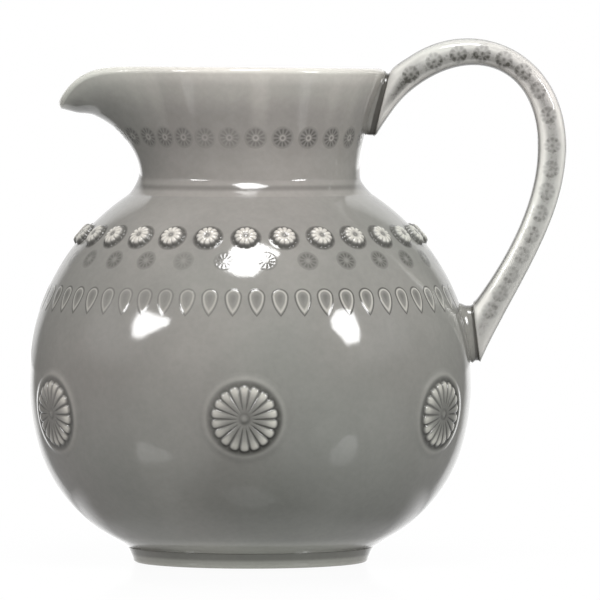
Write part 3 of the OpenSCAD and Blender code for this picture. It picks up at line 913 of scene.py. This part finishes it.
def glaze_tones():
    """Tones of one glaze: pale where it runs thin and where light is painted, dark where it pools and where
    shade is painted, drifting a little over the jug.
    """
    group = bpy.data.node_groups.new("glaze_tones", "ShaderNodeTree")
    sockets = (
        ("INPUT", "Color", ("Thin", "Even", "Pooled")),
        ("INPUT", "Float", ("Drift", "Specks")),
        ("OUTPUT", "Color", ("Color",)),
        ("OUTPUT", "Float", ("Roughness", "Height")),
    )
    for side, kind, names in sockets:
        for name in names:
            group.interface.new_socket(name=name, in_out=side, socket_type="NodeSocket" + kind)
    nodes, links = group.nodes, group.links
    given = nodes.new("NodeGroupInput")
    result = nodes.new("NodeGroupOutput")
    lies = nodes.new("ShaderNodeAttribute")
    lies.attribute_name = "glaze"
    place = nodes.new("ShaderNodeTexCoord")

    def noise(scale, detail, roughness):
        node = nodes.new("ShaderNodeTexNoise")
        node.inputs["Scale"].default_value = scale
        node.inputs["Detail"].default_value = detail
        node.inputs["Roughness"].default_value = roughness
        links.new(place.outputs["Object"], node.inputs["Vector"])
        return node.outputs["Fac"]

    def blended(share, a, b, how="MIX"):
        node = nodes.new("ShaderNodeMix")
        node.data_type = "RGBA"
        node.blend_type = how
        for socket, value in zip((node.inputs[0], node.inputs[6], node.inputs[7]), (share, a, b)):
            fed(group, socket, value)
        return node.outputs[2]

    clouds = noise(26, 4, 0.55)
    patches = noise(9, 2, 0.5)
    specks = noise(420, 3, 0.6)
    ripple = noise(55, 2, 0.4)
    peel = noise(900, 2, 0.5)
    wander = ranged(group, clouds, 0.3, 0.7, -0.1, 0.1)
    grains = ranged(group, noise(620, 2, 0.6), 0.48, 0.72, 0, 0.6)
    gathered = product(group, grains, ranged(group, lies.outputs["Fac"], -0.25, 0.2, 0, 1))
    thickness = reckoned(group, "ADD", lies.outputs["Fac"], wander)
    thickness = reckoned(group, "ADD", thickness, product(group, gathered, given.outputs["Specks"]))
    thin = ranged(group, thickness, 0, -1, 0, 1)
    pooled = ranged(group, thickness, 0, 1, 0, 1)
    tone = blended(thin, given.outputs["Even"], given.outputs["Thin"])
    tone = blended(pooled, tone, given.outputs["Pooled"])
    warm, cool = (1.03, 0.99, 0.985, 1), (0.98, 1.01, 0.985, 1)
    tint = blended(ranged(group, patches, 0.35, 0.65, 0, 1), warm, cool)
    tone = blended(given.outputs["Drift"], tone, tint, "MULTIPLY")
    fleck = ranged(group, specks, 0.35, 0.65, 0.97, 1.03)
    tone = blended(given.outputs["Drift"], tone, grey(group, fleck), "MULTIPLY")
    links.new(tone, result.inputs["Color"])
    links.new(ranged(group, clouds, 0.3, 0.7, 0.05, 0.12), result.inputs["Roughness"])
    links.new(reckoned(group, "ADD", ripple, product(group, peel, 0.05)), result.inputs["Height"])
    return group


GLAZE_TONES = glaze_tones()


def glaze(slot, thin, even, pooled, specks=0):
    material = bpy.data.materials.new(slot)
    material.use_nodes = True
    nodes, links = material.node_tree.nodes, material.node_tree.links
    shader = nodes["Principled BSDF"]
    shader.inputs["IOR"].default_value = 1.65
    tones = nodes.new("ShaderNodeGroup")
    tones.node_tree = GLAZE_TONES
    for name, colour in (("Thin", thin), ("Even", even), ("Pooled", pooled)):
        tones.inputs[name].default_value = (*colour, 1)
    tones.inputs["Drift"].default_value = 1
    tones.inputs["Specks"].default_value = specks
    bump = nodes.new("ShaderNodeBump")
    bump.inputs["Strength"].default_value = 0.3
    bump.inputs["Distance"].default_value = 0.0006
    links.new(tones.outputs["Color"], shader.inputs["Base Color"])
    links.new(tones.outputs["Roughness"], shader.inputs["Roughness"])
    links.new(tones.outputs["Height"], bump.inputs["Height"])
    links.new(bump.outputs["Normal"], shader.inputs["Normal"])
    return material


DARK = (0.05, 0.049, 0.044)
BODY_GREY = (0.25, 0.248, 0.232)
GLAZES = {
    "body_glaze": glaze("body_glaze", (0.52, 0.51, 0.475), BODY_GREY, DARK),
    "foot_glaze": glaze("foot_glaze", (0.5, 0.49, 0.45), (0.31, 0.306, 0.28), (0.14, 0.138, 0.125)),
    "neck_glaze": glaze("neck_glaze", (0.66, 0.645, 0.6), (0.272, 0.267, 0.25), DARK),
    "handle_glaze": glaze(
        "handle_glaze", (0.84, 0.83, 0.79), (0.405, 0.4, 0.385), (0.07, 0.068, 0.06), specks=0.7
    ),
    "seam_glaze": glaze("seam_glaze", (0.45, 0.44, 0.41), (0.24, 0.237, 0.22), (0.055, 0.052, 0.046)),
    "sprig_glaze": glaze("sprig_glaze", (0.62, 0.605, 0.555), BODY_GREY, DARK),
}


def fired(piece, slot, *nodes):
    """A finished piece: glazed, riding on the jug's one body, in place of its solids."""
    piece.data.materials.clear()
    piece.data.materials.append(GLAZES[slot])
    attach(piece, "root")
    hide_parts(*nodes)


def put_away(motif):
    picked_up(motif)
    bpy.ops.object.delete()


def stamped(motif, name, seats, strengths, slot, node):
    """All the copies of a motif that make up one piece."""
    fired(laid(motif, name, seats, strengths), slot, node)
    put_away(motif)


# The jug

fired(globe(), "body_glaze", "globe_body")
fired(foot(), "foot_glaze", "foot_ring")
fired(neck(), "neck_glaze", "neck_and_spout")
fired(handle(), "handle_glaze", "handle")
fired(seam("upper_slip_seam", 0, neck_radius, (0.44, 0.3), 0.8), "seam_glaze", "upper_handle_seam")
fired(seam("lower_slip_seam", 1, globe_radius, (0.8, 0.5), 0.7), "seam_glaze", "lower_handle_seam")

mould = large_rosette()
for i in range(1, LARGE_ROSETTES + 1):
    azimuth = math.tau / LARGE_ROSETTES * (i - 0.5)
    seat = globe_seat(azimuth, LARGE_ROSETTE_LAT, LARGE_ROSETTE_R)
    # Painted light and shade: the rosettes' tones are strongest towards the handle's side and faintest on
    # the spout's side.
    pad = laid(mould, f"pressed_rosette_{i}", [seat], [0.98 + 0.2 * math.cos(azimuth)])
    fired(pad, "sprig_glaze", f"large_rosette_{i}")
put_away(mould)

ROSETTE_STEP = math.tau / SHOULDER_ROSETTES
mould = shoulder_rosette()
for i in range(1, SHOULDER_ROSETTES + 1):
    pad = laid(mould, f"shoulder_button_{i}", [globe_seat(ROSETTE_STEP * (i - 1), SHOULDER_ROSETTE_LAT)])
    fired(pad, "sprig_glaze", f"shoulder_rosette_{i}")
put_away(mould)

mould = daisy(
    "shoulder_daisy_mould", pad_r=3.7, pad_h=0.03, dashes=11, dash_from=1.6, dash_to=3.1,
    middle_relief=((0, 0.02), (0.9, 0.015), (1.25, -0.02), (1.5, 0), (2, 0)),
    middle_tone=((0, 0.1), (0.8, 0.15), (1.2, 0.4), (1.5, 0.35)), wash=0.33, dash_tone=0.6,
)
turns = [ROSETTE_STEP * (i + 0.5) for i in range(SHOULDER_ROSETTES)]
seats = [globe_seat(turn, SHOULDER_DAISY_LAT) for turn in turns]
filled = (
    (0, 1), (1.6, 0.8), (3.5, 0.6), (3.9, 0.95), (4.2, 0.9), (4.4, 0.5), (4.7, 0.8), (5.3, 1.15), (6.3, 1),
)
strengths = [through(filled, turn) for turn in turns]
stamped(mould, "stamped_shoulder_daisies", seats, strengths, "body_glaze", "shoulder_daisies")

mould = drop()
turns = [ROSETTE_STEP / 2 * (i + 0.5) for i in range(1, DROPS + 1)]
seats = [globe_seat(turn, DROP_LAT) for turn in turns]
filled = (
    (0, 1), (1.6, 0.8), (3.1, 0.9), (3.8, 0.85), (4.1, 0.4), (4.4, 0.45), (4.7, 0.75), (5.2, 1.1), (6.3, 1),
)
strengths = [through(filled, turn) for turn in turns]
stamped(mould, "pressed_drops", seats, strengths, "sprig_glaze", "drop_band")

mould = daisy(
    "neck_daisy_mould", pad_r=3.7, pad_h=0.06, dashes=12, dash_from=1.7, dash_to=3.4,
    middle_relief=((0, -0.05), (0.4, -0.05), (0.8, 0.03), (1.4, 0.03), (1.7, 0)),
    middle_tone=((0, 0.6), (0.35, 0.5), (0.75, -0.2), (1.1, -0.15), (1.5, 0.25)), wash=0.22, dash_tone=0.7,
)
turns = []
for i in range(-(NECK_DAISIES // 2), NECK_DAISIES // 2 + 1):
    even = math.tau * i / (NECK_DAISIES + 1)
    turns.append(math.pi + even - NECK_DAISY_CROWDING * math.sin(even))
seats = [neck_seat(turn) for turn in turns]
filled = (
    (0, 0.8), (2, 0.7), (3.5, 0.8), (4, 0.8), (4.3, 0.5), (4.5, 0.4), (4.7, 0.6), (5, 0.95), (5.3, 1.1),
    (6, 0.8),
)
strengths = [through(filled, turn) for turn in turns]
stamped(mould, "stamped_neck_daisies", seats, strengths, "neck_glaze", "neck_daisies")

mould = dotted_daisy()
seats = []
strengths = []
filled = ((0, 0.7), (0.12, 0.95), (0.36, 0.85), (0.5, 0.65), (1, 0.42))
for side in (-1, 1):
    for i in range(HANDLE_DAISIES_A_SIDE):
        along = i / (HANDLE_DAISIES_A_SIDE - 1)
        seats.append(handle_seat(mix(DAISY_FIRST_SHARE, DAISY_LAST_SHARE, along), side))
        strengths.append(through(filled, along))
stamped(mould, "stamped_handle_daisies", seats, strengths, "handle_glaze", "handle_daisies")

# Studio: white surround, pale floor, three soft boxes, three fills and the camera

AIM = Vector((0.0187, 0, 0.099))
CAMERA_AZIMUTH = math.radians(1.2)
CAMERA_DISTANCE = 2.9
CAMERA_HEIGHT = 0.19
CAMERA_LENS = 460
ROOM_LIGHT = 0.08
ROOM_SEEN = 0.13
WALL_SIDES = (0.42, 0.72)
WALL_TOP = (1.2, 2.4)
LEAST_DEPTH = 0.001
FLOOR_SIZE = 12
FLOOR_SEEN = 0.9
FLOOR_BOUNCE = 0.34
FLOOR_MIRRORED = 0.12
BOX_DISTANCE = 1.2
BOX_BRIGHTNESS = 14
CUT_BLUR = 0.04
FILL_SPREAD = math.radians(40)


def surround():
    """White to the camera; reflections find a white wall behind the jug, and dim room light elsewhere."""
    world = bpy.data.worlds.new("white_surround")
    bpy.context.scene.world = world
    world.use_nodes = True
    tree = world.node_tree
    path = tree.nodes.new("ShaderNodeLightPath").outputs
    x, y, z = split_up(tree, tree.nodes.new("ShaderNodeTexCoord").outputs["Generated"])
    sideways = reckoned(tree, "ABSOLUTE", x)
    depth = largest(tree, y, LEAST_DEPTH)
    wall = product(
        tree,
        eased(tree, reckoned(tree, "DIVIDE", sideways, depth), *WALL_SIDES, 1, 0),
        eased(tree, reckoned(tree, "DIVIDE", z, depth), *WALL_TOP, 1, 0),
    )
    panels = product(
        tree,
        eased(tree, sideways, 0.7, 0.98, 0, 0.75),
        eased(tree, y, -0.1, 0.35, 1, 0),
        eased(tree, z, 0, 0.3, 0, 1),
    )
    mirrored = product(tree, path["Is Glossy Ray"], largest(tree, wall, panels, ROOM_SEEN))
    seen = largest(tree, path["Is Camera Ray"], path["Is Transmission Ray"])
    light = tree.nodes["Background"]
    light.inputs["Color"].default_value = (1, 1, 1, 1)
    tree.links.new(largest(tree, seen, mirrored, ROOM_LIGHT), light.inputs["Strength"])


def floor():
    """A pale, slightly glossy sheet that shows white to the camera and keeps the jug's shadow.
    In the glaze it shows as a painted reflection of the white wall, and glows a little round the foot, a
    painted light that also brightens the jug's underside."""
    put_down()
    bpy.ops.mesh.primitive_plane_add(size=FLOOR_SIZE)
    sheet = bpy.context.object
    sheet.name = "pale_floor"
    material = bpy.data.materials.new("pale_floor")
    material.use_nodes = True
    tree = material.node_tree
    nodes, links = tree.nodes, tree.links
    card = nodes["Principled BSDF"]
    card.inputs["Roughness"].default_value = 0.05
    card.inputs["Specular IOR Level"].default_value = 0.25
    path = nodes.new("ShaderNodeLightPath").outputs
    place = nodes.new("ShaderNodeTexCoord").outputs["Object"]
    x, y, _ = split_up(tree, place)
    length = nodes.new("ShaderNodeVectorMath")
    length.operation = "LENGTH"
    links.new(place, length.inputs[0])
    away = length.outputs["Value"]
    seen = largest(tree, path["Is Camera Ray"], path["Is Transmission Ray"])
    bounce = eased(tree, path["Is Diffuse Ray"], 0, 1, FLOOR_MIRRORED, FLOOR_BOUNCE)
    shown = largest(tree, bounce, product(tree, seen, FLOOR_SEEN))
    links.new(grey(tree, shown), card.inputs["Base Color"])
    sideways = reckoned(tree, "ABSOLUTE", x)
    past = largest(tree, reckoned(tree, "SUBTRACT", sideways, 0.08), 0)
    slant = reckoned(tree, "DIVIDE", past, largest(tree, y, LEAST_DEPTH))
    wall = product(tree, eased(tree, slant, *WALL_SIDES, 1, 0), eased(tree, y, 0, 0.1, 0, 1))
    behind = product(tree, eased(tree, away, 0.085, 0.12, 1, 0), eased(tree, y, -0.03, 0.03, 0, 1))
    beside = product(
        tree, eased(tree, sideways, 0.015, 0.05, 0, 0.25), eased(tree, away, 0.12, 0.4, 1, 0.3)
    )
    # painted light round the foot, for reflections and for the jug's diffuse light
    under = eased(tree, away, 0.055, 0.085, 0.45, 0)
    glow = product(tree, path["Is Glossy Ray"], largest(tree, wall, behind, beside, under))
    lift = product(tree, path["Is Diffuse Ray"], under)
    card.inputs["Emission Color"].default_value = (1, 1, 1, 1)
    links.new(largest(tree, glow, lift), card.inputs["Emission Strength"])
    white = nodes.new("ShaderNodeEmission")
    either = nodes.new("ShaderNodeMixShader")
    links.new(product(tree, seen, eased(tree, away, 0.04, 0.3, 0.93, 1)), either.inputs[0])
    links.new(card.outputs[0], either.inputs[1])
    links.new(white.outputs[0], either.inputs[2])
    links.new(either.outputs[0], nodes["Material Output"].inputs["Surface"])
    sheet.data.materials.append(material)


def on_stand(lamp, azimuth, elevation, distance, height):
    """A lamp aimed at the jug's axis at a height; azimuth 0 is over the camera, angles in degrees."""
    stand = bpy.data.objects.new(lamp.name, lamp)
    bpy.context.scene.collection.objects.link(stand)
    turn, tilt = math.radians(azimuth), math.radians(elevation)
    across = math.cos(tilt)
    way = Vector((across * math.sin(turn), -across * math.cos(turn), math.sin(tilt)))
    stand.location = Vector((0, 0, height)) + way * distance
    stand.rotation_euler = way.to_track_quat("Z", "Y").to_euler()
    return stand


def soft_box(name, azimuth, elevation, size, cuts):
    """An area lamp with trimmed corners: for each cut (a, b, c) it shines only where a * across + b * up
    + c > 0, with across and up from 0 to 1 over its face."""
    lamp = bpy.data.lights.new(name, "AREA")
    lamp.shape = "RECTANGLE"
    lamp.size, lamp.size_y = size
    lamp.energy = BOX_BRIGHTNESS * math.pi * size[0] * size[1]
    lamp.use_nodes = True
    tree = lamp.node_tree
    across, up, _ = split_up(tree, tree.nodes.new("ShaderNodeNewGeometry").outputs["Parametric"])
    kept = []
    for a, b, c in cuts:
        side = reckoned(tree, "ADD", product(tree, across, a), product(tree, up, b))
        kept.append(eased(tree, side, -c - CUT_BLUR, -c + CUT_BLUR, 0, 1))
    tree.links.new(product(tree, *kept), tree.nodes["Emission"].inputs["Strength"])
    on_stand(lamp, azimuth, elevation, BOX_DISTANCE, AIM.z)


def fill(name, azimuth, elevation, level):
    """Broad light that leaves no reflection; level is that of a white card facing it."""
    lamp = bpy.data.lights.new(name, "SUN")
    lamp.angle = FILL_SPREAD
    lamp.energy = level * math.pi
    stand = on_stand(lamp, azimuth, elevation, CAMERA_DISTANCE, 0)
    stand.visible_glossy = False


def camera():
    lens = bpy.data.cameras.new("camera")
    lens.lens = CAMERA_LENS
    eye = bpy.data.objects.new("camera", lens)
    bpy.context.scene.collection.objects.link(eye)
    side = Vector((math.cos(CAMERA_AZIMUTH), math.sin(CAMERA_AZIMUTH), 0))
    back = Vector((math.sin(CAMERA_AZIMUTH), -math.cos(CAMERA_AZIMUTH), 0))
    aim = side * AIM.x + Vector((0, 0, AIM.z))
    eye.location = side * AIM.x + back * CAMERA_DISTANCE + Vector((0, 0, CAMERA_HEIGHT))
    eye.rotation_euler = (eye.location - aim).to_track_quat("Z", "Y").to_euler()
    bpy.context.scene.camera = eye


surround()
floor()
soft_box("left_box", -55, 24, (0.41, 0.25), ((-1.05, 1, 0.37), (3.5, 1, -0.42)))
soft_box("right_box", 55, 24, (0.3, 0.34), ((1.35, 1, -0.5), (-1.5, 1, 1.17), (0.78, -1, 0.75)))
soft_box(
    "top_box", 0, 65, (0.56, 0.42),
    ((1.2, 1, -0.35), (2.24, -1, 0.35), (-1.97, 1, 1.22), (-0.78, -1, 1.53)),
)
fill("front_fill", 12, 35, 0.57)
fill("left_back_fill", -125, 22, 0.28)
fill("right_back_fill", 125, 22, 0.28)
camera()
bpy.context.scene.view_settings.view_transform = "Standard"
